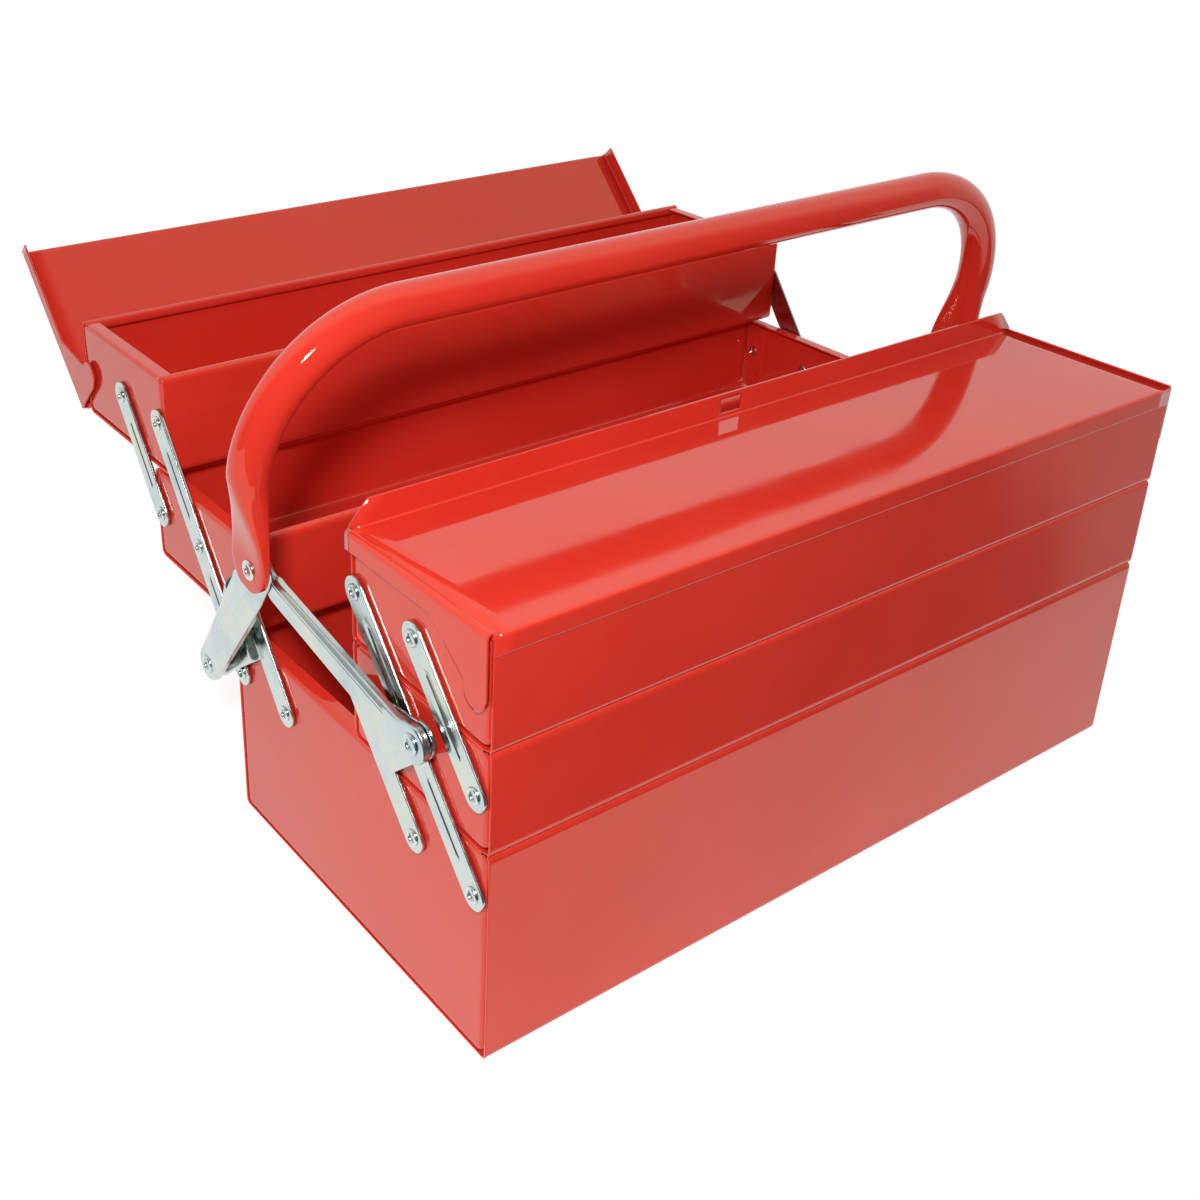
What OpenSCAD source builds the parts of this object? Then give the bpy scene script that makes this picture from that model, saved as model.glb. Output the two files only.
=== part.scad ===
// Cantilever tool box in folded sheet steel.
// A deep base carries two stacked trays and a lid on each long side. Flat links at both ends
// swing each stack out sideways, and a tube handle joins the two sides above the middle.
// Origin: middle of the base's underside. X runs along the box, +Y to the back, +Z up.
// The front side is drawn closed and the back side open.

/* [Box] */
// Length over the end panels
box_l = 404; // [360:1:460]
// Depth over the long walls
box_w = 200; // [196:1:210]
// Height of the base
base_h = 101.5; // [95:0.5:110]
// Height from one pivot row to the next, which is also the height of a tray
tray_pitch = 46.5; // [44:0.5:50]
// Half of the gap between the front trays and the back trays
half_gap = 6.5; // [5.5:0.5:7]
// Sheet thickness
sheet_t = 1; // [0.8:0.1:1.2]

/* [Lid] */
// Height of the lid's outer face above the ground
lid_z = 198.4; // [197.5:0.1:200]
// Drop of the lid's front flange
lid_flange = 8.4; // [6:0.1:8.4]
// Height of the upright strip on the lid's inner edge
strip_h = 11.5; // [8:0.5:16]
// Length of the padlock hole
hasp_l = 13; // [10:0.5:18]
// Opening angle of the lid in the drawn pose
lid_open = 134; // [0:1:134]

/* [Linkage] */
// Distance of the outer pivots from the middle plane
pivot_y = 93.3; // [92:0.1:94]
// Height of the pivot row on the base
pivot_z = 80.5; // [76:0.5:84]
// Inward reach of a link from one pivot row to the next
link_in = 41.2; // [40.5:0.1:41.4]
// Angle through which the links turn from closed to open
swing = 78.5; // [0:0.5:80]
// Width of the tray links
link_w = 13.5; // [12:0.5:15]
// Distance between the two rivets of a handle link
handle_link_l = 108.5; // [108:0.1:112]

/* [Handle] */
// Height of the bar's middle above the handle rivets
handle_h = 108.5; // [104:0.5:125]
// Lean of the handle towards the front in the drawn pose
handle_lean = 10; // [-20:1:20]
// Outer diameter of the handle tube
tube_d = 18.2; // [17.6:0.2:20]
// Bend radius of the tube's middle line
bend_r = 67; // [55:1:70]
// Thickness of the flattened leg
leg_t = 4.2; // [3.8:0.2:5]

/* [Hidden] */
$fn = 48;

// Colours of the paint and of the zinc plating
paint = [0.80, 0.11, 0.09];
zinc = [0.74, 0.76, 0.74];

// Outer face of an end panel
end_x = box_l / 2;
// Gap that keeps stacked and swinging pieces apart
gap = 0.3;
// Play between a rivet's shank and the hole that turns on it
play = 0.06;
// Setback of a straight side from the circle that it runs into
hair = 0.02;
// Bend radius of the sheet along the bottom edges, and along the top edges
fold_r = 3;
rim_r = 2;
// Inward turn along the top of the long walls, and its downward lip
hem_w = 3.4;
hem_lip = 3.6;
// Inward turn along the top of the end panels
rim_w = 7.6;
// Width of the tabs that fold behind the end panels
tab_w = 14;

// Shanks and heads of the small rivets and of the large ones
small_r = 2.3;
small_head = 3.7;
large_r = 2.6;
large_head = 4.6;
head_h = 1.5;
// Rolled tail of a rivet behind the sheet
tail_h = 1.1;

// Layers outward from the end panel, each given as its inner face
lid_x = 0.4;
link_x = 0.5;
link_t = 1.6;
wing_x = 4.3;
wing_t = 1.4;
front_web_x = 7.9;
back_web_x = 9.7;
web_t = 1.4;
leg_x = 15.5;
// Depth of the turned edge of a handle link, with the web
edge_depth = 3.2;

// Pivots of the closed front side in the Y-Z plane, by row
base_outer = [-pivot_y, pivot_z];
base_inner = [-pivot_y + link_in, pivot_z];
mid_outer = base_outer + [0, tray_pitch];
mid_middle = base_inner + [0, tray_pitch];
mid_inner = base_inner + [link_in, tray_pitch];
top_middle = mid_middle + [0, tray_pitch];
top_inner = mid_inner + [0, tray_pitch];
lid_pivot = [-92.7, lid_z - 27.4];
// Rivet at the end of the wing on a lower link
wing_offset = [-11.4, 55.2];
wing_pivot = base_inner + wing_offset;
// Direction of the closed links, and the normal that points away from the box
link_angle = atan2(tray_pitch, link_in);
link_len = norm([link_in, tray_pitch]);

// Shift of an open mid tray on the back side: the far end of a link that turned by swing
function turned(v, angle) = [v[0] * cos(angle) - v[1] * sin(angle),
                             v[0] * sin(angle) + v[1] * cos(angle)];
open_link = turned([link_in, tray_pitch], swing);
open_out = link_in - open_link[0];
open_up = open_link[1] - tray_pitch;

// Wing rivet of the open back side, and the handle rivet where both handle links meet
open_wing = turned(wing_offset, swing);
back_wing = [-(base_inner + open_wing)[0], (base_inner + open_wing)[1]];
wing_span = back_wing - wing_pivot;
wing_dist = norm(wing_span);
apex_rise = sqrt(handle_link_l * handle_link_l - wing_dist * wing_dist / 4);
handle_pivot = (wing_pivot + back_wing) / 2
    + apex_rise * [-wing_span[1], wing_span[0]] / wing_dist;

// Flat drawing in Y and Z, pushed out along X from x by t
module upright(x, t) {
    translate([x, 0, 0]) rotate([90, 0, 90]) linear_extrude(t) children();
}

// Right end as drawn, or its mirror image at the left end
module at_end(side) {
    mirror([side < 0 ? 1 : 0, 0, 0]) children();
}

// Back side: the closed front drawing mirrored, then moved with an open tray in the given row
module back_tray(row) {
    translate([0, row * open_out, row * open_up]) mirror([0, 1, 0]) children();
}

// Back side link: mirrored, then opened about its lower pivot
module back_link(pivot, row) {
    translate([0, row * open_out, row * open_up])
        translate([0, -pivot[0], pivot[1]]) rotate([-swing, 0, 0])
        translate([0, pivot[0], -pivot[1]]) mirror([0, 1, 0]) children();
}

// Bar with round ends between two points; its sides lie a hair inside the round ends
module bar(p, q, r) {
    half = r - hair;
    translate(p) circle(r);
    translate(q) circle(r);
    translate(p) rotate(atan2(q[1] - p[1], q[0] - p[0]))
        translate([0, -half]) square([norm(q - p), 2 * half]);
}

// Rectangle with its two lower corners rounded by r and its two upper corners by top
module trough(y0, y1, z0, z1, r, top) {
    translate([y0, z0 + r]) square([y1 - y0, z1 - z0 - r - top]);
    translate([y0 + r, z0]) square([y1 - y0 - 2 * r, r + hair]);
    translate([y0 + top, z1 - top - hair]) square([y1 - y0 - 2 * top, top + hair]);
    for (y = [y0 + r, y1 - r]) translate([y, z0 + r]) circle(r);
    for (y = [y0 + top, y1 - top]) translate([y, z1 - top]) circle(top);
}

// One sheet folded to a front wall, a floor and a back wall, with turned-in top edges
module folded_sheet(y0, y1, z0, z1, holes) {
    upright(-end_x + sheet_t, box_l - 2 * sheet_t) {
        difference() {
            trough(y0, y1, z0, z1, fold_r, rim_r);
            trough(y0 + sheet_t, y1 - sheet_t, z0 + sheet_t, z1 - sheet_t, fold_r - sheet_t,
                   rim_r - sheet_t);
            translate([y0 + hem_w, z0 + fold_r]) square([y1 - y0 - 2 * hem_w, z1 - z0]);
        }
        for (y = [y0 + hem_w - sheet_t, y1 - hem_w])
            translate([y, z1 - hem_lip]) square([sheet_t, hem_lip]);
    }
    difference() {
        for (side = [-1, 1]) at_end(side) upright(end_x - 2 * sheet_t, sheet_t)
            for (y = [y0 + sheet_t - 0.01, y1 - sheet_t - tab_w])
                translate([y, z0 + 4]) square([tab_w + 0.01, z1 - z0 - 4 - hem_lip - 2]);
        for (p = holes) pivot_hole(p, small_r);
    }
}

// Hole along X through everything at one pivot
module pivot_hole(p, r) {
    translate([-end_x - 40, p[0], p[1]]) rotate([0, 90, 0]) cylinder(r = r, h = 2 * end_x + 80);
}

// End panel with a wide turned-in rim
module end_panel(y0, y1, z0, z1, holes) {
    difference() {
        union() {
            upright(end_x - sheet_t, sheet_t) trough(y0, y1, z0, z1, fold_r, rim_r);
            upright(end_x - rim_w, rim_w) translate([y0 + hem_w + 0.4, z1 - sheet_t])
                square([y1 - y0 - 2 * hem_w - 0.8, sheet_t]);
        }
        for (p = holes) pivot_hole(p, small_r);
    }
}

// Rivet along X: a hollow tail inside x0, a shank, and a rolled head with a hollow outside x1
module rivet(p, x0, x1, r, head) {
    hollow = r * 0.6;
    dome = [for (a = [0 : 15 : 75]) [hollow + (head - hollow) * cos(a), x1 + head_h * sin(a)]];
    translate([0, p[0], p[1]]) rotate([0, 90, 0]) rotate_extrude()
        polygon(concat([[0, x0 + 0.6], [r * 0.55, x0 + 0.2], [r * 0.7, x0 - tail_h],
                        [r + 0.9, x0 - tail_h], [r + 0.9, x0], [r, x0], [r, x1]],
                       dome, [[hollow, x1 + head_h * 0.9], [hollow * 0.8, x1 - 0.8],
                              [0, x1 - 0.8]]));
}

// Small rivets at both ends of one sheet-metal body between y0 and y1.
// A rivet near a long wall also goes through the tab behind the end panel.
module small_rivets(points, y0, y1) {
    reach = sheet_t + tab_w;
    color(zinc) for (side = [-1, 1], p = points) at_end(side)
        rivet(p, p[0] < y0 + reach || p[0] > y1 - reach ? end_x - 2 * sheet_t : end_x - sheet_t,
              end_x + link_x + link_t + gap, small_r, small_head);
}

// Shallow pressed line on the outer face of a flat link
module pressed_line(p, q, x, w) {
    upright(x - 0.5, 1) bar(p, q, w / 2);
}

// Point on a closed tray link, from its lower pivot
function along(p, u, n = 0) = p + u * [cos(link_angle), sin(link_angle)]
    + n * [-sin(link_angle), cos(link_angle)];

// Long arm from the base past the mid tray to the top tray
module long_arm() {
    color(zinc) difference() {
        upright(end_x + link_x, link_t) bar(base_outer, top_inner, link_w / 2);
        for (p = [base_outer, mid_middle, top_inner]) pivot_hole(p, small_r + play);
        for (u = [0, link_len])
            pressed_line(along(base_outer, u + 13), along(base_outer, u + link_len - 13),
                         end_x + link_x + link_t, 1.4);
    }
}

// Short upper link from the mid tray to the top tray
module upper_link() {
    color(zinc) difference() {
        upright(end_x + link_x, link_t) bar(mid_outer, top_middle, link_w / 2);
        for (p = [mid_outer, top_middle]) pivot_hole(p, small_r + play);
        pressed_line(along(mid_outer, 13), along(mid_outer, link_len - 13),
                     end_x + link_x + link_t, 1.4);
    }
}

// Lower link from the base to the mid tray, with the wing that carries a handle link
module lower_link() {
    color(zinc) difference() {
        union() {
            upright(end_x + link_x, link_t) bar(base_inner, mid_inner, link_w / 2);
            intersection() {
                translate([0, base_inner[0], base_inner[1]]) rotate([link_angle, 0, 0])
                    translate([0, wing_foot, 0]) rotate([90, 0, 0]) mirror([0, 0, 1])
                    linear_extrude(wing_len) polygon(wing_section);
                upright(end_x, 2 * wing_x) wing_outline();
            }
        }
        for (p = [base_inner, mid_inner]) pivot_hole(p, small_r + play);
        pivot_hole(wing_pivot, large_r + play);
    }
}

// Wing: where it starts and ends along the link, and its joggled section across the link
wing_foot = 26.5;
wing_len = 43;
wing_reach = 60;
joggle_n = [link_w / 2 - 1.5, link_w / 2 + 2.5];
wing_section = [
    [end_x + link_x, joggle_n[0] - 1], [end_x + link_x, joggle_n[0]],
    [end_x + wing_x, joggle_n[1]], [end_x + wing_x, wing_reach],
    [end_x + wing_x + wing_t, wing_reach], [end_x + wing_x + wing_t, joggle_n[1]],
    [end_x + link_x + link_t, joggle_n[0]], [end_x + link_x + link_t, joggle_n[0] - 1]];

// Wing seen from the end of the box: a triangle with a round corner at its rivet
module wing_outline() {
    tip_r = 8;
    difference() {
        union() {
            polygon([along(base_inner, wing_foot), along(base_inner, wing_foot, 45.5),
                     wing_pivot, along(base_inner, link_len + 6.4, 5), along(base_inner, link_len, 0)]);
            translate(wing_pivot) circle(tip_r);
            bar(wing_pivot, along(base_inner, link_len, 0), tip_r - 0.6);
        }
        polygon([along(base_inner, wing_foot), along(base_inner, wing_foot, 70),
                 along(base_inner, wing_foot - 20, 70), along(base_inner, wing_foot - 20)]);
    }
}

// Handle link in its own frame: wing rivet at the origin, handle rivet on the first axis.
// The second axis is the front link's upper side. The other side reaches out by wide.
module handle_link_outline(inset, wide) {
    end_r = 9;
    tongue_r = 8;
    flare_u = 72;
    end_n = end_r - inset - hair;
    tongue_n = tongue_r - inset - hair;
    circle(end_r - inset);
    translate([handle_link_l, 0]) circle(tongue_r - inset);
    polygon([[0, end_n], [handle_link_l, tongue_n], [handle_link_l, -tongue_n],
             [flare_u + 16, -tongue_n], [flare_u + inset * 0.4, -wide + inset], [0, -end_n]]);
}

// Handle link: a web with a turned edge from the wing end to u_edge, and long beads, each
// given as its place across the link and its half width
module handle_link(x_web, u_edge, wide, beads) {
    difference() {
        union() {
            upright(x_web, web_t) handle_link_outline(0, wide);
            upright(x_web + web_t - edge_depth, edge_depth) intersection() {
                difference() {
                    handle_link_outline(0, wide);
                    handle_link_outline(1.2, wide);
                }
                translate([-20, -30]) square([20 + u_edge, 60]);
            }
            for (b = beads)
                upright(x_web + web_t - 0.1, 0.7) bar([20, b[0]], [bead_end, b[0] - 0.6], b[1]);
        }
        pivot_hole([0, 0], large_r + play);
        pivot_hole([handle_link_l, 0], large_r + play);
    }
}
// Where the long beads of a handle link end
bead_end = 84;

// Handle link placed between two rivets
module placed_handle_link(from, to, x_web, u_edge, wide, beads) {
    color(zinc) translate([0, from[0], from[1]])
        rotate([atan2(to[1] - from[1], to[0] - from[0]), 0, 0])
            handle_link(x_web, u_edge, wide, beads);
}

// Lid: top, front flange, side flanges with hinge ears, and the upright strip with its hole
module lid() {
    top_in = half_gap - 1;
    out_y = box_w / 2 + 0.4 + sheet_t;
    side_x = end_x + lid_x;
    side_drop = 8;
    ear_r = 6.6;
    chamfer = [9, 7.7];
    color(paint) difference() {
        union() {
            translate([-side_x - sheet_t, -out_y, lid_z - sheet_t])
                cube([2 * (side_x + sheet_t), out_y - top_in, sheet_t]);
            translate([-side_x - sheet_t, -out_y, lid_z - lid_flange])
                cube([2 * (side_x + sheet_t), sheet_t, lid_flange]);
            for (side = [-1, 1]) at_end(side) upright(side_x, sheet_t) {
                polygon([[-out_y, lid_z], [-top_in, lid_z], [-top_in, lid_z - side_drop],
                         [-64, lid_z - side_drop], lid_pivot + ear_r * [0.92, 0.4],
                         lid_pivot, [-out_y + 1.4, lid_pivot[1]],
                         [-out_y + 1.4, lid_z - lid_flange], [-out_y, lid_z - lid_flange]]);
                translate(lid_pivot) circle(ear_r);
            }
            translate([0, -top_in, lid_z - sheet_t]) rotate([90, 0, 0]) linear_extrude(sheet_t)
                polygon([[-side_x, 0], [side_x, 0], [side_x, strip_h + sheet_t - chamfer[1]],
                         [side_x - chamfer[0], strip_h + sheet_t],
                         [-side_x + chamfer[0], strip_h + sheet_t],
                         [-side_x, strip_h + sheet_t - chamfer[1]]]);
        }
        pivot_hole(lid_pivot, large_r + play);
        translate([-hasp_l / 2, -half_gap - 5, lid_z + 1.8]) cube([hasp_l, 10, 7.4]);
    }
}

// Lid hinge rivets at both ends, through the lid's ear, the end panel and the tab behind it
module lid_rivets() {
    color(zinc) for (side = [-1, 1]) at_end(side)
        rivet(lid_pivot, end_x - 2 * sheet_t, end_x + lid_x + sheet_t + gap, large_r, large_head);
}

// Collar around a wing rivet that holds the handle link off the wing
collar_r = 4;
module wing_collar(p, x_web) {
    translate([end_x + wing_x + wing_t + gap, p[0], p[1]]) rotate([0, 90, 0])
        cylinder(r = collar_r, h = x_web - wing_x - wing_t - 2 * gap);
}

// Back wing rivets, through the wing and the handle link
module back_wing_rivets() {
    color(zinc) for (side = [-1, 1]) at_end(side) {
        rivet(back_wing, end_x + wing_x - gap, end_x + back_web_x + web_t + gap, large_r,
              large_head);
        wing_collar(back_wing, back_web_x);
    }
}

// Front wing rivets: the shank starts in the collar and leaves the hole in the wing empty,
// because the front handle links hang on the handle rivets and part from the wing here
module front_wing_rivets() {
    shank_x = end_x + front_web_x - 2 * gap;
    head_x = end_x + front_web_x + web_t + gap;
    color(zinc) for (side = [-1, 1]) at_end(side) {
        translate([0, wing_pivot[0], wing_pivot[1]]) rotate([0, 90, 0]) rotate_extrude()
            polygon(concat([[0, shank_x], [large_r, shank_x], [large_r, head_x]],
                           [for (a = [0 : 15 : 75])
                               [large_r * 0.6 + (large_head - large_r * 0.6) * cos(a),
                                head_x + head_h * sin(a)]],
                           [[large_r * 0.6, head_x + head_h * 0.9], [0, head_x - 0.4]]));
        wing_collar(wing_pivot, front_web_x);
    }
}

// Handle rivets, through both handle links and the leg, with a collar that holds the leg off
module handle_rivets() {
    color(zinc) for (side = [-1, 1]) at_end(side) {
        rivet(handle_pivot, end_x + front_web_x - gap, end_x + leg_x + leg_t + gap, large_r,
              large_head);
        translate([end_x + back_web_x + web_t + gap, handle_pivot[0], handle_pivot[1]])
            rotate([0, 90, 0]) cylinder(r = collar_r, h = leg_x - back_web_x - web_t - 2 * gap);
    }
}

// Handle: half widths of the tube's section at a distance s from the rivet along the leg.
// The tube is pressed flat around the rivet and comes back to round above it. The flat is
// wider behind the rivet than in front of it, and lies inward of the tube's middle.
flat_end = 7;
round_end = 38;
flat_w = 12.5;
leg_behind = 3;
leg_bow = 3.8;
function ease(t) = let (c = min(max(t, 0), 1)) c * c * (3 - 2 * c);
function roundness(s) = ease((s - flat_end) / (round_end - flat_end));
function half_t(s) = leg_t / 2 + (tube_d - leg_t) / 2 * roundness(s);
function half_w(s) = flat_w + (tube_d / 2 - flat_w) * roundness(s);
// Leg end below the rivet, rounded like the end of an ellipse
leg_tip = 11.5;
function tip_scale(s) = s >= 2 ? 1 : sqrt(max(1 - pow((2 - s) / (leg_tip + 2), 2), 0.02));

// Points of the half handle's middle line: distance, sideways place, height, tangent angle
leg_mid_x = end_x + leg_x + leg_t / 2 + leg_bow;
leg_len = handle_h - bend_r;
bar_half = leg_mid_x - bend_r;
leg_s = [for (i = [0 : 5]) -leg_tip + (leg_tip + 2) * (1 - cos(18 * i)),
         for (i = [0 : 6]) flat_end + i / 6 * (leg_len - 1 - flat_end)];
arc_a = [for (i = [1 : 10]) 9 * i];
bar_s = [for (i = [1 : 5]) i / 5];
half_path = concat(
    [for (s = leg_s) [s, leg_mid_x - leg_bow * (1 - roundness(s)), s, 0]],
    [for (a = arc_a) [leg_len + bend_r * a * PI / 180, leg_mid_x - bend_r * (1 - cos(a)),
                      leg_len + bend_r * sin(a), a]],
    [for (k = bar_s) [leg_len + bend_r * PI / 2 + k * bar_half, bar_half * (1 - k), handle_h, 90]]);
half_n = len(half_path);
ring_n = 28;

// One ring of the tube's skin; squareness falls from the flat leg to the round bar
function ring(q, side) =
    let (s = q[0], w = half_w(s) * tip_scale(s), t = half_t(s), a = q[3],
         e = 0.55 + 0.45 * roundness(s))
    [for (j = [0 : ring_n - 1])
        let (c = cos(360 * j / ring_n), d = sin(360 * j / ring_n),
             across = w * sign(c) * pow(abs(c), e), out = t * sign(d) * pow(abs(d), e))
        [side * (q[1] + out * cos(a)), side * across, q[2] + out * sin(a)]];

module handle_tube() {
    rings = concat([for (i = [0 : half_n - 1]) ring(half_path[i], 1)],
                   [for (i = [half_n - 2 : -1 : 0]) ring(half_path[i], -1)]);
    count = len(rings);
    // The left half's rings are turned round so that their points follow on from the right half
    points = [for (i = [0 : count - 1], j = [0 : ring_n - 1])
        i < half_n ? rings[i][j] : rings[i][(ring_n / 2 - j + ring_n) % ring_n]];
    skin = [for (i = [0 : count - 2], j = [0 : ring_n - 1])
        let (k = (j + 1) % ring_n)
        [i * ring_n + j, (i + 1) * ring_n + j, (i + 1) * ring_n + k, i * ring_n + k]];
    caps = [[for (j = [0 : ring_n - 1]) j],
            [for (j = [ring_n - 1 : -1 : 0]) (count - 1) * ring_n + j]];
    polyhedron(points, concat(skin, caps), convexity = 6);
}

module handle() {
    color(paint) difference() {
        translate([0, handle_pivot[0], handle_pivot[1]]) rotate([handle_lean, 0, 0])
            translate([0, leg_behind, 0]) handle_tube();
        pivot_hole(handle_pivot, large_r + play);
    }
}

// Heights of the three layers of trays
mid_z = [base_h + gap, base_h + tray_pitch];
top_z = [base_h + tray_pitch + gap, lid_z - sheet_t - 0.8];
wall_y = -box_w / 2;
base_holes = [base_outer, base_inner, [-base_outer[0], pivot_z], [-base_inner[0], pivot_z]];
mid_holes = [mid_outer, mid_middle, mid_inner];
top_holes = [top_middle, top_inner];

module base_body() { color(paint) folded_sheet(wall_y, -wall_y, 0, base_h, base_holes); }
module base_end() { color(paint) end_panel(wall_y, -wall_y, 0, base_h, base_holes); }
module mid_body() { color(paint) folded_sheet(wall_y, -half_gap, mid_z[0], mid_z[1], mid_holes); }
module mid_end() { color(paint) end_panel(wall_y, -half_gap, mid_z[0], mid_z[1], mid_holes); }
module mid_rivets() { small_rivets(mid_holes, wall_y, -half_gap); }
module top_rivets() { small_rivets(top_holes, wall_y, -half_gap); }
module top_body() {
    color(paint) difference() {
        folded_sheet(wall_y, -half_gap, top_z[0], top_z[1], top_holes);
        pivot_hole(lid_pivot, large_r);
    }
}
module top_end() {
    color(paint) difference() {
        end_panel(wall_y, -half_gap, top_z[0], top_z[1], top_holes);
        pivot_hole(lid_pivot, large_r);
    }
}

// Front link at one end between the front wing rivet and the handle rivet, and the back link
module front_handle_link() {
    placed_handle_link(wing_pivot, handle_pivot, end_x + front_web_x, handle_link_l - 26,
                       10.5, [[3, 3]]);
}
module back_handle_link() {
    placed_handle_link(back_wing, handle_pivot, end_x + back_web_x, handle_link_l - 30,
                       17, [[2, 1.3], [-5, 1.3]]);
}
module opened_lid() {
    translate([0, -lid_pivot[0], lid_pivot[1]]) rotate([-lid_open, 0, 0])
        translate([0, lid_pivot[0], -lid_pivot[1]]) mirror([0, 1, 0]) lid();
}

base_body();
at_end(-1) base_end();  // base_end_left
at_end(1) base_end();  // base_end_right
small_rivets(base_holes, wall_y, -wall_y);  // base_link_rivets
mid_body();  // front_mid_tray_body
at_end(-1) mid_end();  // front_mid_tray_end_left
at_end(1) mid_end();  // front_mid_tray_end_right
mid_rivets();  // front_mid_tray_rivets
top_body();  // front_top_tray_body
at_end(-1) top_end();  // front_top_tray_end_left
at_end(1) top_end();  // front_top_tray_end_right
top_rivets();  // front_top_tray_rivets
lid();  // front_lid
lid_rivets();  // front_lid_rivets
at_end(-1) long_arm();  // front_long_arm_left
at_end(1) long_arm();  // front_long_arm_right
at_end(-1) lower_link();  // front_lower_link_left
at_end(1) lower_link();  // front_lower_link_right
at_end(-1) upper_link();  // front_upper_link_left
at_end(1) upper_link();  // front_upper_link_right
front_wing_rivets();
at_end(-1) front_handle_link();  // front_handle_link_left
at_end(1) front_handle_link();  // front_handle_link_right
back_tray(1) mid_body();  // back_mid_tray_body
at_end(-1) back_tray(1) mid_end();  // back_mid_tray_end_left
at_end(1) back_tray(1) mid_end();  // back_mid_tray_end_right
back_tray(1) mid_rivets();  // back_mid_tray_rivets
back_tray(2) top_body();  // back_top_tray_body
at_end(-1) back_tray(2) top_end();  // back_top_tray_end_left
at_end(1) back_tray(2) top_end();  // back_top_tray_end_right
back_tray(2) top_rivets();  // back_top_tray_rivets
translate([0, 2 * open_out, 2 * open_up]) opened_lid();  // back_lid
back_tray(2) lid_rivets();  // back_lid_rivets
at_end(-1) back_link(base_outer, 0) long_arm();  // back_long_arm_left
at_end(1) back_link(base_outer, 0) long_arm();  // back_long_arm_right
at_end(-1) back_link(base_inner, 0) lower_link();  // back_lower_link_left
at_end(1) back_link(base_inner, 0) lower_link();  // back_lower_link_right
at_end(-1) back_link(mid_outer, 1) upper_link();  // back_upper_link_left
at_end(1) back_link(mid_outer, 1) upper_link();  // back_upper_link_right
back_wing_rivets();
at_end(-1) back_handle_link();  // back_handle_link_left
at_end(1) back_handle_link();  // back_handle_link_right
handle_rivets();
handle();
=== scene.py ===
import math

import bpy
import numpy as np
from mathutils import Matrix


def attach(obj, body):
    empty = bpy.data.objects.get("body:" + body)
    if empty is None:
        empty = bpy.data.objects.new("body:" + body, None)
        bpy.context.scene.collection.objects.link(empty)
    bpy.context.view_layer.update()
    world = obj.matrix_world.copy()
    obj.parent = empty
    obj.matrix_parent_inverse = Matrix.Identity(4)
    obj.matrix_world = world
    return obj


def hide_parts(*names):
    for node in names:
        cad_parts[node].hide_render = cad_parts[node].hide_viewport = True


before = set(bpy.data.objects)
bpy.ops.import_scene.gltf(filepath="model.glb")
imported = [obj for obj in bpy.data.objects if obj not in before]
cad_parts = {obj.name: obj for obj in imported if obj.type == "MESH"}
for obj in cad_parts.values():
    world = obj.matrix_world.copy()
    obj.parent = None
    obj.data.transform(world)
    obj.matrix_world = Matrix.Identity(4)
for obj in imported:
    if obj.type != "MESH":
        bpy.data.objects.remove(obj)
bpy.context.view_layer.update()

# Cantilever tool box, dressed. Points are worked out in millimetres in the frame of the model,
# for the closed front side and the right end, and then placed at the other end or on the open back.

# Sizes of the box that several pieces share
box = {
    "endX": 202.0,        # outer face of an end panel
    "halfDepth": 100.0,   # skin of a long wall, from the middle plane
    "baseHeight": 101.5,
    "pitch": 46.5,        # height from one pivot row to the next
    "halfGap": 6.5,       # inner faces of the trays from the middle plane
    "gap": 0.3,           # between stacked trays, and between a wing and its rivet's collar
    "sheet": 1.0,         # thickness
    "lidTop": 198.4,
    "underLid": 0.8,      # from the top tray's edge to the lid
    "swing": 78.5,        # angle of an open link
    "lidOpen": 134.0,     # angle of the open lid
    "pivotY": 93.3, "pivotZ": 80.5,                   # outer pivot at the base
    "linkIn": 41.2,       # from one pivot column to the next
    "linkWidth": 13.5,
    "handleLink": 108.5,  # rivet to rivet
    "lidHinge": (-92.7, -27.4),                       # y, and z from the lid's top
    "wingRivet": (-11.4, 55.2),                       # from the inner pivot at the base
}

# Layers outward from an end panel
layer = {"lid": 0.4, "link": 0.5, "linkThick": 1.6, "wing": 4.3, "wingThick": 1.4,
         "frontWeb": 7.9, "backWeb": 9.7, "webThick": 1.4, "leg": 16.9, "legThick": 4.2}


def turned(v, angle):
    # rotation in the Y-Z plane by an angle in degrees
    c, s = math.cos(math.radians(angle)), math.sin(math.radians(angle))
    return np.array([v[0] * c - v[1] * s, v[0] * s + v[1] * c])


# Pivots of the closed front side in the Y-Z plane
baseOuter = np.array([-box["pivotY"], box["pivotZ"]])
baseInner = baseOuter + [box["linkIn"], 0]
midOuter = baseOuter + [0, box["pitch"]]
midMiddle = baseInner + [0, box["pitch"]]
midInner = midMiddle + [box["linkIn"], 0]
topMiddle = midMiddle + [0, box["pitch"]]
topInner = midInner + [0, box["pitch"]]
lidPivot = np.array(box["lidHinge"]) + [0, box["lidTop"]]
wingOffset = np.array(box["wingRivet"])
wingPivot = baseInner + wingOffset
linkAngle = math.degrees(math.atan2(box["pitch"], box["linkIn"]))
linkLength = math.hypot(box["linkIn"], box["pitch"])

# Where one open row stands, and the rivets of the handle
openLink = turned([box["linkIn"], box["pitch"]], box["swing"])
openShift = np.array([box["linkIn"] - openLink[0], openLink[1] - box["pitch"]])
openWing = baseInner + turned(wingOffset, box["swing"])
backWing = np.array([-openWing[0], openWing[1]])
wingSpan = backWing - wingPivot
wingDistance = np.linalg.norm(wingSpan)
apexRise = math.sqrt(box["handleLink"] ** 2 - wingDistance ** 2 / 4)
upward = np.array([-wingSpan[1], wingSpan[0]])
handlePivot = (wingPivot + backWing) / 2 + apexRise * upward / wingDistance


# Placements: a 3 by 3 matrix and an offset, applied as matrix times point plus offset
def asDrawn():
    return np.eye(3), np.zeros(3)


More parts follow.
